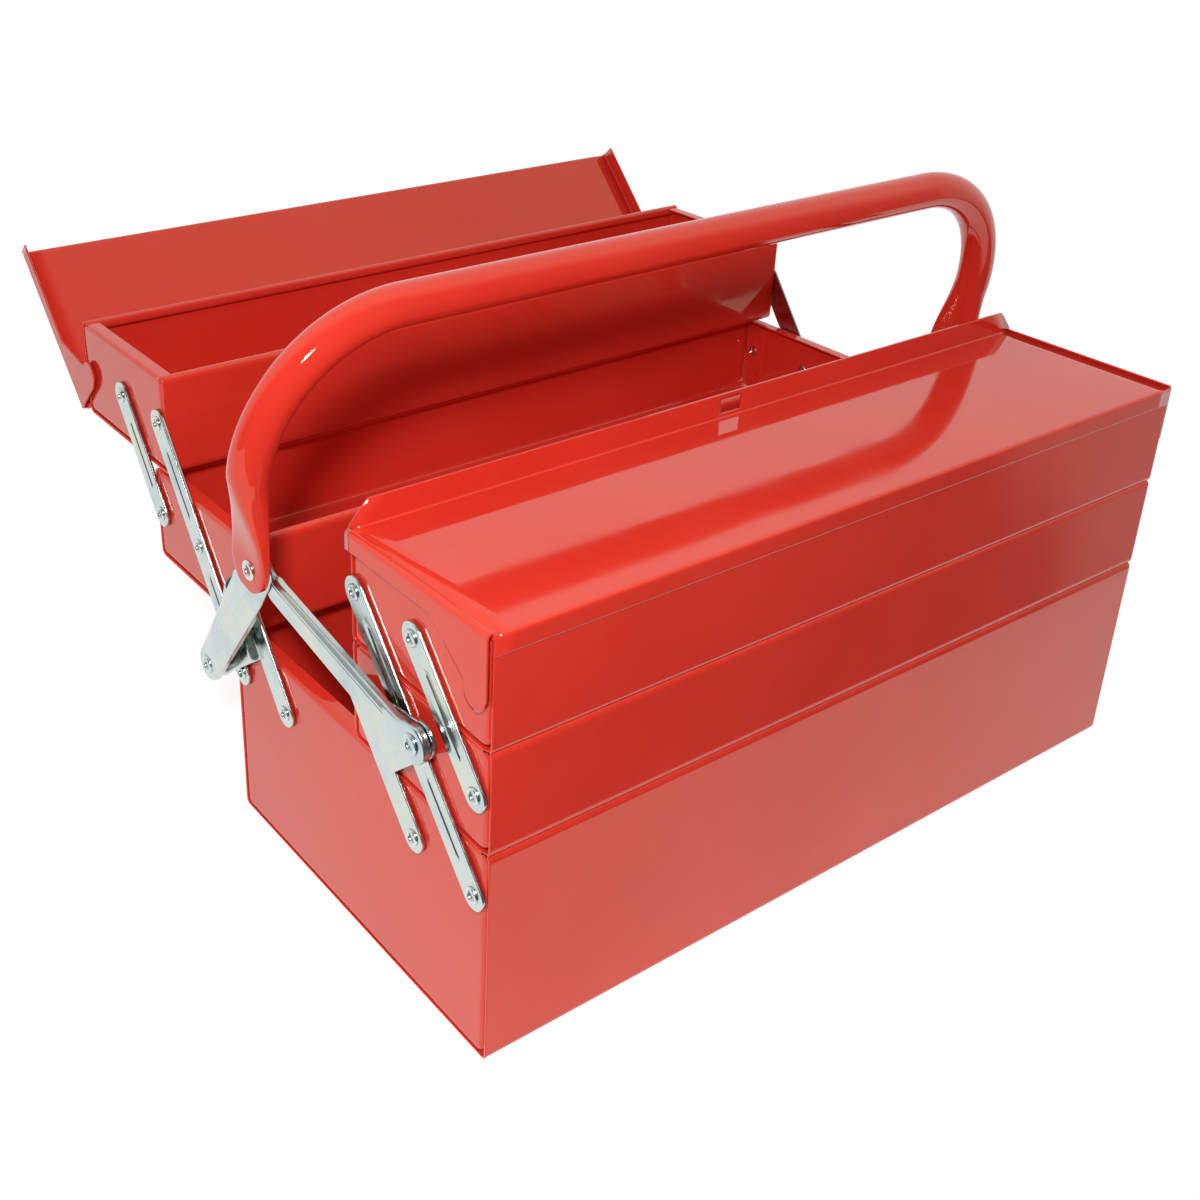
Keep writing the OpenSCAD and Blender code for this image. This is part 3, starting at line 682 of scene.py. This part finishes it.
longArm = flatLink(baseOuter, 2 * linkLength,
                   [grooveSpan(0, linkLength), grooveSpan(linkLength, 2 * linkLength)])
upperLink = flatLink(midOuter, linkLength, [grooveSpan(0, linkLength)])
lowerLink = joined(flatLink(baseInner, linkLength, []), wingPlate())
linkParts = [("long_arm", longArm, "long_arms", baseOuter, 0),
             ("upper_link", upperLink, "upper_links", midOuter, 1),
             ("lower_link", lowerLink, "lower_links", baseInner, 0)]
for linkName, part, bodyName, pivot, row in linkParts:
    for front, place in (("front", asDrawn()), ("back", toBackLink(pivot, row))):
        addPair(f"{front}_{linkName}_pressing", part, place, f"{front}_{bodyName}",
                linkZinc, f"{front}_{linkName}")
print("tray links made")


# Handle links
handleLinkPressing = {
    "edgeDepth": 3.2, "bend": 1.3,      # depth of the turned edges, and their outer radius
    "atWing": 1.0, "atHandle": 5.2,     # how far the web leans outward at either rivet
    "rimDepth": 0.15, "edgeFade": 4.0, "grooveFade": 4.0,
    "footWidth": 1.2, "footRise": 0.4,
}
# high, low: (place along the link, edge across it); groove: (distance from the high edge, height)
frontLink = {
    "wingEnd": 8.6, "handleEnd": 6.8,
    "high": [(0, 8.6), (4, 7.2), (8, 4.6), (13, 3.2), (97, -0.4), (103, 1.0), (108.5, 6.8)],
    "low": [(0, -8.6), (16, -11.8), (102, -13.4), (108.5, -6.8)],
    "groove": [(-40, 0), (-4.6, 0), (-4.1, -0.35), (-3.6, -0.3), (-3.2, 0.45), (-2.2, 0.55),
               (-1.3, 0.1), (9, 0)],
    "grooveStart": 16.0, "grooveEnd": 104.0, "edgeStop": 100.0,
}
backLink = {
    "wingEnd": 8.6, "handleEnd": 8.6,
    "high": [(0, 8.6), (90, 10.4), (104, 9.4), (108.5, 8.6)],
    "low": [(0, -8.6), (90, -12.6), (104, -10.0), (108.5, -8.6)],
    "groove": [(-40, 0), (-17.2, 0), (-16.4, 0.55), (-15.2, 0.55), (-14.4, 0), (-10.6, 0),
               (-9.8, 0.5), (-7.4, 0.5), (-6.6, 0), (9, 0)],
    "grooveStart": 14.0, "grooveEnd": 88.0, "edgeStop": 78.5,
}


def handleLinkPart(webX, link):
    # section carried from the wing rivet to the handle rivet. The web lies between the high and
    # the low edge and leans outward evenly from atWing to atHandle; the grooves follow the high
    # edge, and both edges are turned towards the box as far as edgeStop
    h, length, t = handleLinkPressing, box["handleLink"], layer["webThick"]
    u = endStations(link["wingEnd"], length, link["handleEnd"], 90)
    past = pastEnds(u, length)
    endRadius = np.where(u < 0, link["wingEnd"], link["handleEnd"])
    round_ = np.sqrt(np.maximum(endRadius ** 2 - past ** 2, 0.0009))
    high, low = (np.interp(u, *np.array(link[edge]).T) for edge in ("high", "low"))
    high, low = np.where(past > 0, round_, high), np.where(past > 0, -round_, low)
    # corners of the two edges are eased between the round ends
    soft, inner = np.array([1, 2, 3, 2, 1]) / 9, slice(17, -17)
    for edge in (high, low):
        edge[inner] = np.convolve(edge, soft, "same")[inner]
    web = webX + h["atWing"] + (h["atHandle"] - h["atWing"]) * u / length
    rim = t + h["rimDepth"]
    turnedIn = smooth((link["edgeStop"] + h["edgeFade"] / 2 - u) / h["edgeFade"])
    depth = rim + (h["edgeDepth"] - rim) * turnedIn
    r = np.minimum(h["bend"], (high - low) * 0.3)
    u, high, low, web, r = (value[:, None] for value in (u, high, low, web, r))
    flat = (low + r) + (high - low - 2 * r) * np.linspace(0, 1, 61)
    alongGroove = (smooth((u - link["grooveStart"]) / h["grooveFade"])
                   * smooth((link["grooveEnd"] - u) / h["grooveFade"]))
    lift = alongGroove * np.interp(flat - high, *np.array(link["groove"]).T)
    top = stacked(web + t + lift, u, flat)
    bottom = stacked(web + np.maximum(lift, 0) * 0.8, u, flat)[:, ::-1]
    b = np.radians(np.array([67.5, 45, 22.5, 0]))
    bendX, bendIn = web + t - r + r * np.sin(b), r * (1 - np.cos(b))
    edgeHigh, edgeLow = stacked(bendX, u, high - bendIn), stacked(bendX, u, low + bendIn)[:, ::-1]
    footX = web + t - depth[:, None]
    footOut = np.concatenate([footX, footX, np.minimum(web, footX + h["footRise"])], 1)
    footIn = np.minimum(h["footWidth"], (high - low) * 0.25) * [0, 1, 1]
    footHigh = stacked(footOut, u, high - footIn)
    footLow = stacked(footOut, u, low + footIn)[:, ::-1]
    loop = np.concatenate([top, edgeHigh, footHigh, bottom, footLow, edgeLow], 1)
    return grid(loop, closeAcross=True, flip=True)


def handleLinkPlaced(part, start, end):
    angle = math.degrees(math.atan2(end[1] - start[1], end[0] - start[0]))
    return fromLinkFrame(part[0], start, angle), part[1]


frontWeb, backWeb = (box["endX"] + layer[web] for web in ("frontWeb", "backWeb"))
frontHandleLink = handleLinkPlaced(handleLinkPart(frontWeb, frontLink), wingPivot, handlePivot)
backHandleLink = handleLinkPlaced(handleLinkPart(backWeb, backLink), backWing, handlePivot)
for front, part in (("front", frontHandleLink), ("back", backHandleLink)):
    addPair(f"{front}_handle_link_pressing", part, asDrawn(), f"{front}_handle_links",
            linkZinc, f"{front}_handle_link")
print("handle links made")


# Rivets
rivetSize = {
    "small": 2.3, "smallHead": 3.7, "large": 2.6, "largeHead": 4.6,     # radius of shank and head
    "head": 0.95, "headEdge": 0.15,     # height of the head and of its edge
    "hollow": 0.85,                     # radius of its hollow, as a part of the shank's
    "inside": ((0.96, -0.4), (0.8, -1.3), (0.4, -1.5), (0.0, -1.5)),    # (part of the hollow, x)
    # tail roll: (part of the shank's radius, further out, x)
    "tail": ((0.0, 0, 0.5), (0.5, 0, 0.2), (0.7, 0, -0.7), (0.85, 0, -1.05),
             (1, 0.3, -1.0), (1, 0.8, -0.5), (1, 0.75, -0.05), (1, 0, 0)),
    "collar": 4.0, "collarIn": 0.3, "collarUp": 0.25,
    "proud": 0.05, "largeProud": 0.1, "sunk": 0.3,
}


def turnedProfile(pivot, profile):
    # profile (radius, x) turned about a line along X through the pivot
    b = np.radians(np.linspace(0, 360, 33)[:-1])
    radius, x = profile[:, :1], profile[:, 1:]
    points = stacked(x, pivot[0] + radius * np.cos(b), pivot[1] + radius * np.sin(b))
    return grid(points, closeAcross=True, flip=True)


def rivetPart(pivot, x0, x1, r, head, tail=True):
    # tail roll, shank, rolled head with height (h - edge) sin a, and the hollow in it
    h, edge, hole = rivetSize["head"], rivetSize["headEdge"], r * rivetSize["hollow"]
    a = np.radians(np.linspace(0, 180, 17))
    ring = np.stack([(head + hole) / 2 + (head - hole) / 2 * np.cos(a),
                     x1 + edge + (h - edge) * np.sin(a)], 1)
    inside = np.array(rivetSize["inside"]) * [hole, 1] + [0, x1]
    part, further, x = np.array(rivetSize["tail"]).T
    start = np.stack([r * part + further, x0 + x], 1) if tail else np.array([[0.0, x0], [r, x0]])
    return turnedProfile(pivot, np.concatenate([start, [[r, x1], [head, x1]], ring, inside]))


def collarPart(pivot, x0, x1):
    # short turned collar with rounded rims
    r, inward, up = rivetSize["collar"], rivetSize["collarIn"], rivetSize["collarUp"]
    return turnedProfile(pivot, np.array([[0, x0], [r - inward, x0], [r, x0 + up], [r, x1 - up],
                                          [r - inward, x1], [0, x1]]))


def smallRivets(points, y0, y1):
    # those near a long wall also pass through the tab behind the panel
    reach = box["sheet"] + tab["width"]
    parts = []
    for p in points:
        deep = 2 if (p[0] < y0 + reach or p[0] > y1 - reach) else 1
        parts.append(rivetPart(p, box["endX"] - deep * box["sheet"], linkTop + rivetSize["proud"],
                               rivetSize["small"], rivetSize["smallHead"]))
    return joined(*parts)


def largeRivet(pivot, x0, x1, tail=True):
    return rivetPart(pivot, x0, x1, rivetSize["large"], rivetSize["largeHead"], tail)


def addRivets(name, part, body, node, place):
    addPiece(name, bothEnds(part, place), body, rivetZinc, [node], sharp=50.0)


outer, inner = -box["halfDepth"], -box["halfGap"]
basePivots = [pivot * [side, 1] for side in (1, -1) for pivot in (baseOuter, baseInner)]
baseRivets = smallRivets(basePivots, outer, -outer)
midRivets = smallRivets([midOuter, midMiddle, midInner], outer, inner)
topRivets = smallRivets([topMiddle, topInner], outer, inner)
lidRivets = largeRivet(lidPivot, box["endX"] - 2 * box["sheet"], lidHalf + rivetSize["proud"])
addRivets("base_rivets", baseRivets, "base", "base_link_rivets", asDrawn())
for front, midPlace, topPlace in (("front", asDrawn(), asDrawn()),
                                  ("back", toBackRow(1), toBackRow(2))):
    midTray, topTray = f"{front}_mid_tray", f"{front}_top_tray"
    addRivets(f"{front}_mid_rivets", midRivets, midTray, midTray + "_rivets", midPlace)
    addRivets(f"{front}_top_rivets", topRivets, topTray, topTray + "_rivets", topPlace)
    addRivets(f"{front}_lid_hinge_rivets", lidRivets, topTray, f"{front}_lid_rivets", topPlace)

wingX = box["endX"] + layer["wing"]
wingTop = wingX + layer["wingThick"] + box["gap"]
legX = box["endX"] + layer["leg"]
atWing, atHandle = handleLinkPressing["atWing"], handleLinkPressing["atHandle"]
webThick, sunk, proud = layer["webThick"], rivetSize["sunk"], rivetSize["largeProud"]
frontX, backX = frontWeb + atWing, backWeb + atWing
frontWing = joined(largeRivet(wingPivot, frontX - 2 * sunk, frontX + webThick + proud, False),
                   collarPart(wingPivot, wingTop, frontX - sunk))
backWingPart = joined(largeRivet(backWing, wingX - sunk, backX + webThick + proud),
                      collarPart(backWing, wingTop, backX - sunk))
handleRivet = joined(largeRivet(handlePivot, frontWeb + atHandle - sunk,
                                legX + layer["legThick"] + proud),
                     collarPart(handlePivot, backWeb + webThick + atHandle + rivetSize["proud"],
                                legX - rivetSize["proud"]))
addRivets("front_wing_rivet_pair", frontWing, "front_handle_links", "front_wing_rivets", asDrawn())
addRivets("back_wing_rivet_pair", backWingPart, "back_lower_links", "back_wing_rivets", asDrawn())
addRivets("handle_rivet_pair", handleRivet, "back_handle_links", "handle_rivets", asDrawn())
print("rivets made")


# Handle
tube = {
    "height": 108.5, "lean": 10.0, "diameter": 18.2, "bend": 67.0,
    "tip": 11.5, "tipStop": 2.0,        # round tip below the rivet, and where it meets the leg
    "flatEnd": 3.0, "roundEnd": 54.0, "widthEnd": 42.0, "flatWidth": 13.5,
    "behind": 2.5, "barBehind": 3.0, "bow": 2.4, "square": 0.25,
    "tipThin": 0.35, "tipRound": 2.5, "legSteps": 50, "bendSteps": 41, "barSteps": 30,
}


def handleTube():
    # rings along half the middle line: up the leg, round the bend and along the bar. Half
    # thickness t and half width w go from the flat leg to the radius of the bar, and the middle
    # moves outward by the bow. A ring is (w |cos|^e, t |sin|^e), square when e is small
    r, flat, width = tube["diameter"] / 2, layer["legThick"] / 2, tube["flatWidth"]
    height, bendR, stop = tube["height"], tube["bend"], tube["tipStop"]
    midX = legX + flat + tube["bow"]
    leg, bar, tipLength = height - bendR, midX - bendR, tube["tip"] + stop
    tipA = np.radians(np.linspace(0, 90, 15))
    legS = np.concatenate([-tube["tip"] + tipLength * (1 - np.cos(tipA)),
                           np.linspace(stop + 1, leg, tube["legSteps"])])
    bendA = np.linspace(0, math.pi / 2, tube["bendSteps"])[1:]
    barK = np.linspace(0, 1, tube["barSteps"])[1:]
    s = np.concatenate([legS, leg + bendR * bendA, leg + bendR * math.pi / 2 + barK * bar])
    round_, narrow = (smooth((s - tube["flatEnd"]) / (tube[end] - tube["flatEnd"]))
                      for end in ("roundEnd", "widthEnd"))
    x = np.concatenate([midX - tube["bow"] * (1 - round_[:len(legS)]),
                        midX - bendR * (1 - np.cos(bendA)), bar * (1 - barK)])
    z = np.concatenate([legS, leg + bendR * np.sin(bendA), np.full_like(barK, height)])
    tangent = np.concatenate([np.zeros_like(legS), bendA, np.full_like(barK, math.pi / 2)])
    tip = np.where(s >= stop, 1.0, np.sqrt(np.maximum(1 - ((stop - s) / tipLength) ** 2, 0.0004)))
    w = (width + (r - width) * narrow) * tip
    thin = tube["tipThin"] + (1 - tube["tipThin"]) * np.minimum(tip * tube["tipRound"], 1)
    t = (flat + (r - flat) * round_) * np.where(s >= stop, 1.0, thin)
    e = tube["square"] + (1 - tube["square"]) * round_
    a = np.radians(np.linspace(0, 360, 81)[:-1])
    across, out = (size[:, None] * np.sign(wave) * np.abs(wave) ** e[:, None]
                   for size, wave in ((w, np.cos(a)), (t, np.sin(a))))
    behind = tube["barBehind"] + (tube["behind"] - tube["barBehind"]) * (1 - narrow)
    points = stacked(x[:, None] + out * np.cos(tangent)[:, None], behind[:, None] + across,
                     z[:, None] + out * np.sin(tangent)[:, None])
    # a flat cap over the tip of the leg
    cap = points[:1].mean(1, keepdims=True).repeat(len(a), 1)
    return grid(np.concatenate([cap, points]), closeAcross=True)


def handlePlace():
    lean = aboutX(tube["lean"], (0, 0))
    return lean[0], lean[1] + [0, handlePivot[0], handlePivot[1]]


addPiece("handle_tube", bothEnds(handleTube(), handlePlace()), "handle", tubePaint,
         ["handle"], sharp=60.0)
print("handle made")


# Camera at the photograph's place. The frame is 1200 by 1200.
camera = {
    "place": (-0.468842, -0.459005, 0.474687),
    "right": (0.810797, -0.585071, 0.017358), "forward": (0.531238, 0.723096, -0.441497),
    "focal": 1526.99, "centreX": 488.28, "centreY": 488.40, "picture": 1200.0,
    "sensor": 36.0, "near": 0.01, "far": 50.0,
}


def addLooking(name, data, place, right, forward):
    # an object at place that looks along forward: its up is right x forward
    matrix = np.eye(4)
    matrix[:3, :4] = np.stack([right, np.cross(right, forward), -forward, place], 1)
    looking = bpy.data.objects.new(name, data)
    looking.matrix_world = Matrix(matrix.tolist())
    bpy.context.scene.collection.objects.link(looking)
    return looking


def addCamera():
    # lens = focal length in pixels / picture width x sensor; the shifts move the picture's centre
    data, picture = bpy.data.cameras.new("photoCamera"), camera["picture"]
    data.sensor_width = camera["sensor"]
    data.lens = camera["focal"] / picture * data.sensor_width
    data.shift_x = (picture / 2 - camera["centreX"]) / picture
    data.shift_y = (camera["centreY"] - picture / 2) / picture
    data.clip_start, data.clip_end = camera["near"], camera["far"]
    forward = np.array(camera["forward"]) / np.linalg.norm(camera["forward"])
    right = np.array(camera["right"])
    right = right - forward * (right @ forward)
    right /= np.linalg.norm(right)
    bpy.context.scene.camera = addLooking("photoCamera", data, camera["place"], right, forward)


addCamera()
print("camera set")


# Stage: a white floor that ends in front of the box, a white backdrop behind and a darker room in
# front, which the front walls reflect above the edge of the floor
stage = {
    "floorX": (-1.6, 2.4), "floorY": (-0.198, 3.2), "floorZ": -0.0002,
    "floorColour": 0.84, "floorRough": 0.9,
    "floorWhite": 0.86, "floorShade": 0.26,      # what the camera sees: white, less a faint shadow
    "back": (0.50, 0.80, 0.33), "backStart": -0.25, "backEnd": 0.35,
    "right": (1.0, 0.0, 0.0), "rightStart": 0.75, "rightEnd": 0.80, "rightGlow": 0.5,
    "white": 1.0, "frontGlow": 0.10, "frontLight": 0.32, "backLight": 0.70,
}
lamp = {"place": (-0.508, -0.424, 0.599), "target": (0.0, 0.05, 0.12), "size": 0.075, "power": 4.3}


def addMix(tree, factor, low, high):
    # low + factor (high - low), for single numbers
    return newNode(tree, "Mix", {0: factor, 2: low, 3: high}).outputs[0]


def seenDirectly(tree):
    # 1 for camera rays, and the largest of camera, glossy and transmission rays
    rays = newNode(tree, "LightPath", {}).outputs
    most = rays["Is Camera Ray"]
    for ray in ("Is Glossy Ray", "Is Transmission Ray"):
        larger = newNode(tree, "Math", {0: most, 1: rays[ray]})
        larger.operation = "MAXIMUM"
        most = larger.outputs[0]
    return rays["Is Camera Ray"], most


def makeFloorPaper():
    # plain diffuse for the light that it gives, and white plus a weak diffuse where it is seen
    material, tree, shader = newMaterial("floorPaper")
    setInputs(tree, shader, {"Base Color": (*[stage["floorColour"]] * 3, 1),
                             "Roughness": stage["floorRough"]})
    white = newNode(tree, "Emission", {"Strength": stage["floorWhite"]}).outputs[0]
    shade = newNode(tree, "BsdfDiffuse", {"Color": (*[stage["floorShade"]] * 3, 1)}).outputs[0]
    both = newNode(tree, "AddShader", {0: white, 1: shade}).outputs[0]
    mix = newNode(tree, "MixShader", {"Fac": seenDirectly(tree)[1], 1: shader.outputs["BSDF"],
                                      2: both})
    output = next(n for n in tree.nodes if n.type == "OUTPUT_MATERIAL")
    tree.links.new(mix.outputs[0], output.inputs["Surface"])
    return material


def addFloor():
    # a level grid of 8 by 8 quads
    x, y = (np.linspace(*stage[side], 9) for side in ("floorX", "floorY"))
    points, quads = grid(stacked(x[:, None], y, stage["floorZ"]))
    mesh = bpy.data.meshes.new("studioFloor")
    mesh.from_pydata(points.tolist(), [], quads.tolist())
    mesh.materials.append(makeFloorPaper())
    floor = bpy.data.objects.new("studioFloor", mesh)
    bpy.context.scene.collection.objects.link(floor)


def directionShare(tree, side):
    # 0 to 1, eased, as the direction's part along the side's axis goes from its start to its end
    direction = newNode(tree, "TexCoord", {}).outputs["Generated"]
    along = newNode(tree, "VectorMath", {0: direction, 1: stage[side]})
    along.operation = "DOT_PRODUCT"
    share = newNode(tree, "MapRange", {"Value": along.outputs["Value"],
                                       "From Min": stage[side + "Start"],
                                       "From Max": stage[side + "End"]})
    share.interpolation_type = "SMOOTHSTEP"
    return share.outputs["Result"]


def addWorld():
    # a white backdrop, a dark front and a pale wall far to the right, by direction. Reflections
    # see these, the camera sees white, and diffuse light comes in softer steps
    world = bpy.data.worlds.new("studioWorld")
    bpy.context.scene.world = world
    world.use_nodes = True
    tree = world.node_tree
    back, right = directionShare(tree, "back"), directionShare(tree, "right")
    front = addMix(tree, right, stage["frontGlow"], stage["rightGlow"])
    mirrored = addMix(tree, back, front, stage["white"])
    lighting = addMix(tree, back, stage["frontLight"], stage["backLight"])
    cameraRay, direct = seenDirectly(tree)
    seen = addMix(tree, cameraRay, mirrored, stage["white"])
    background = next(n for n in tree.nodes if n.type == "BACKGROUND")
    setInputs(tree, background, {"Color": (1, 1, 1, 1),
                                 "Strength": addMix(tree, direct, lighting, seen)})


def addLamp():
    # a small square area lamp that looks from its place to its target
    data = bpy.data.lights.new("softKey", "AREA")
    data.shape, data.size, data.energy = "SQUARE", lamp["size"], lamp["power"]
    direction = np.array(lamp["target"]) - np.array(lamp["place"])
    direction /= np.linalg.norm(direction)
    side = np.cross(direction, [0, 0, 1])
    addLooking("softKey", data, lamp["place"], side / np.linalg.norm(side), direction)


addFloor()
addWorld()
addLamp()
bpy.context.scene.view_settings.view_transform = "Standard"
print("stage and light set")
